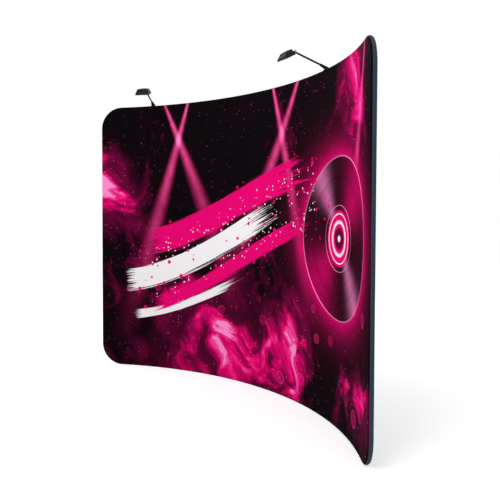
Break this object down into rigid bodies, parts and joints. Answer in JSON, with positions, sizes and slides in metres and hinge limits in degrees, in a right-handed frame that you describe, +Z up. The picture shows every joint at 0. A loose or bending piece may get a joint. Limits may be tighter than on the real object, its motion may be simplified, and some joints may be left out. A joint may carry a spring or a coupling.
{
  "type": "curved display backwall",
  "caption": "Curved tube frame in a printed stretch cover, with arm floodlights clamped to its top edge.",
  "frame": {"origin": "on the floor under the middle of the bottom rail's centreline", "axes": "+X along the wall, to the right as seen from the printed side; -Y towards the viewer, on the hollow side; +Z up"},
  "size_m": [3.0068, 0.6549, 2.3998],
  "materials": {
    "tube": "satin anodised",
    "sleeve": "mill finish",
    "steel": "bright",
    "spring": "blued",
    "button": "polished",
    "print": "dye-printed stretch polyester",
    "back": "plain stretch polyester",
    "zip": "moulded coil on woven tape",
    "zip_metal": "gunmetal",
    "rubber": "matt",
    "black_metal": "satin powder coat",
    "knob": "textured",
    "head_metal": "satin powder coat on cast aluminium",
    "cover_plastic": "textured",
    "board": "white solder mask on aluminium",
    "glass": "clear toughened",
    "gland": "moulded"
  },
  "bodies": {
    "frame": {"top_rail_left": "tube", "top_rail_centre": "tube", "top_rail_right": "tube", "bottom_rail_left": "tube", "bottom_rail_centre": "tube", "bottom_rail_right": "tube", "corner_top_left": "tube", "corner_top_right": "tube", "corner_bottom_left": "tube", "corner_bottom_right": "tube", "centre_post_lower": "tube", "centre_post_upper": "tube", "joint_spigots": "sleeve", "button_springs": "spring", "front_panel": "print", "back_panel": "back", "zip_chain": "zip", "clamp_liners": "rubber", "pan_bolts": "steel", "clamp_bracket_left": "black_metal", "clamp_bracket_right": "black_metal"},
    "button_top_outer_left": {"button_top_outer_left": "button"},
    "button_top_inner_left": {"button_top_inner_left": "button"},
    "button_top_outer_right": {"button_top_outer_right": "button"},
    "button_top_inner_right": {"button_top_inner_right": "button"},
    "button_bottom_outer_left": {"button_bottom_outer_left": "button"},
    "button_bottom_inner_left": {"button_bottom_inner_left": "button"},
    "button_bottom_outer_right": {"button_bottom_outer_right": "button"},
    "button_bottom_inner_right": {"button_bottom_inner_right": "button"},
    "button_side_left": {"button_side_left": "button"},
    "button_side_right": {"button_side_right": "button"},
    "button_post": {"button_post": "button"},
    "zip_slider": {"zip_slider": "zip_metal"},
    "zip_pull": {"zip_pull": "zip_metal"},
    "clamp_pad_left": {"clamp_pad_left": "rubber"},
    "clamp_screw_left": {"clamp_screw_left": "knob"},
    "arm_left": {"arm_foot_left": "black_metal", "arm_left": "black_metal"},
    "head_left": {"head_housing_left": "head_metal", "driver_cover_left": "cover_plastic", "led_board_left": "board", "lens_left": "glass", "bezel_left": "head_metal", "head_screws_left": "steel", "cable_gland_left": "gland", "tilt_bolt_left": "steel"},
    "clamp_pad_right": {"clamp_pad_right": "rubber"},
    "clamp_screw_right": {"clamp_screw_right": "knob"},
    "arm_right": {"arm_foot_right": "black_metal", "arm_right": "black_metal"},
    "head_right": {"head_housing_right": "head_metal", "driver_cover_right": "cover_plastic", "led_board_right": "board", "lens_right": "glass", "bezel_right": "head_metal", "head_screws_right": "steel", "cable_gland_right": "gland", "tilt_bolt_right": "steel"}
  },
  "joints": [
    {"name": "button_top_outer_left_press", "type": "slide", "parent": "frame", "child": "button_top_outer_left", "axis": [0, 0, 1], "range_m": [0, 0.005], "stiffness_N_per_m": 2000, "springref_m": -0.001, "deforming": ["button_springs"]},
    {"name": "button_top_inner_left_press", "type": "slide", "parent": "frame", "child": "button_top_inner_left", "axis": [0, 0, 1], "range_m": [0, 0.005], "stiffness_N_per_m": 2000, "springref_m": -0.001, "deforming": ["button_springs"]},
    {"name": "button_top_outer_right_press", "type": "slide", "parent": "frame", "child": "button_top_outer_right", "axis": [0, 0, 1], "range_m": [0, 0.005], "stiffness_N_per_m": 2000, "springref_m": -0.001, "deforming": ["button_springs"]},
    {"name": "button_top_inner_right_press", "type": "slide", "parent": "frame", "child": "button_top_inner_right", "axis": [0, 0, 1], "range_m": [0, 0.005], "stiffness_N_per_m": 2000, "springref_m": -0.001, "deforming": ["button_springs"]},
    {"name": "button_bottom_outer_left_press", "type": "slide", "parent": "frame", "child": "button_bottom_outer_left", "axis": [0, 0, -1], "range_m": [0, 0.005], "stiffness_N_per_m": 2000, "springref_m": -0.001, "deforming": ["button_springs"]},
    {"name": "button_bottom_inner_left_press", "type": "slide", "parent": "frame", "child": "button_bottom_inner_left", "axis": [0, 0, -1], "range_m": [0, 0.005], "stiffness_N_per_m": 2000, "springref_m": -0.001, "deforming": ["button_springs"]},
    {"name": "button_bottom_outer_right_press", "type": "slide", "parent": "frame", "child": "button_bottom_outer_right", "axis": [0, 0, -1], "range_m": [0, 0.005], "stiffness_N_per_m": 2000, "springref_m": -0.001, "deforming": ["button_springs"]},
    {"name": "button_bottom_inner_right_press", "type": "slide", "parent": "frame", "child": "button_bottom_inner_right", "axis": [0, 0, -1], "range_m": [0, 0.005], "stiffness_N_per_m": 2000, "springref_m": -0.001, "deforming": ["button_springs"]},
    {"name": "button_side_left_press", "type": "slide", "parent": "frame", "child": "button_side_left", "axis": [-0.7547, -0.6561, 0], "range_m": [0, 0.005], "stiffness_N_per_m": 2000, "springref_m": -0.001, "deforming": ["button_springs"]},
    {"name": "button_side_right_press", "type": "slide", "parent": "frame", "child": "button_side_right", "axis": [0.7547, -0.6561, 0], "range_m": [0, 0.005], "stiffness_N_per_m": 2000, "springref_m": -0.001, "deforming": ["button_springs"]},
    {"name": "button_post_press", "type": "slide", "parent": "frame", "child": "button_post", "axis": [-1, 0, 0], "range_m": [0, 0.005], "stiffness_N_per_m": 2000, "springref_m": -0.001, "deforming": ["button_springs"]},
    {"name": "zip_run", "type": "hinge", "parent": "frame", "child": "zip_slider", "pos_m": [0, -2.07, 0.066], "axis": [0, 0, 1], "range_deg": [0, 69.18]},
    {"name": "zip_pull_flip", "type": "hinge", "parent": "zip_slider", "child": "zip_pull", "pos_m": [1.18724, -0.34825, 0.066], "axis": [0, 0, 1], "range_deg": [0, 160]},
    {"name": "pad_slide_left", "type": "slide", "parent": "frame", "child": "clamp_pad_left", "axis": [-0.5395, 0.842, 0], "range_m": [0, 0.005]},
    {"name": "screw_turn_left", "type": "hinge", "parent": "clamp_pad_left", "child": "clamp_screw_left", "pos_m": [-1.13981, -0.29114, 2.2829], "axis": [-0.5395, 0.842, 0], "range_deg": [0, 1440]},
    {"name": "arm_swing_left", "type": "hinge", "parent": "frame", "child": "arm_left", "pos_m": [-1.11678, -0.3271, 2.3056], "axis": [0, 0, 1], "range_deg": [-55, 55]},
    {"name": "head_tilt_left", "type": "hinge", "parent": "arm_left", "child": "head_left", "pos_m": [-0.95857, -0.50311, 2.39177], "axis": [0.7437, 0.6685, 0], "range_deg": [-40, 60]},
    {"name": "pad_slide_right", "type": "slide", "parent": "frame", "child": "clamp_pad_right", "axis": [0.3458, 0.9383, 0], "range_m": [0, 0.005]},
    {"name": "screw_turn_right", "type": "hinge", "parent": "clamp_pad_right", "child": "clamp_screw_right", "pos_m": [0.73055, -0.08763, 2.2829], "axis": [0.3458, 0.9383, 0], "range_deg": [0, 1440]},
    {"name": "arm_swing_right", "type": "hinge", "parent": "frame", "child": "arm_right", "pos_m": [0.71578, -0.12769, 2.3056], "axis": [0, 0, 1], "range_deg": [-55, 55]},
    {"name": "head_tilt_right", "type": "hinge", "parent": "arm_right", "child": "head_right", "pos_m": [0.65162, -0.35549, 2.39177], "axis": [0.9626, -0.2711, 0], "range_deg": [-40, 60]}
  ],
  "couplings": [
    {"joint": "screw_turn_left", "follows": "pad_slide_left", "rad_per_m": 5026.5},
    {"joint": "screw_turn_right", "follows": "pad_slide_right", "rad_per_m": 5026.5}
  ]
}
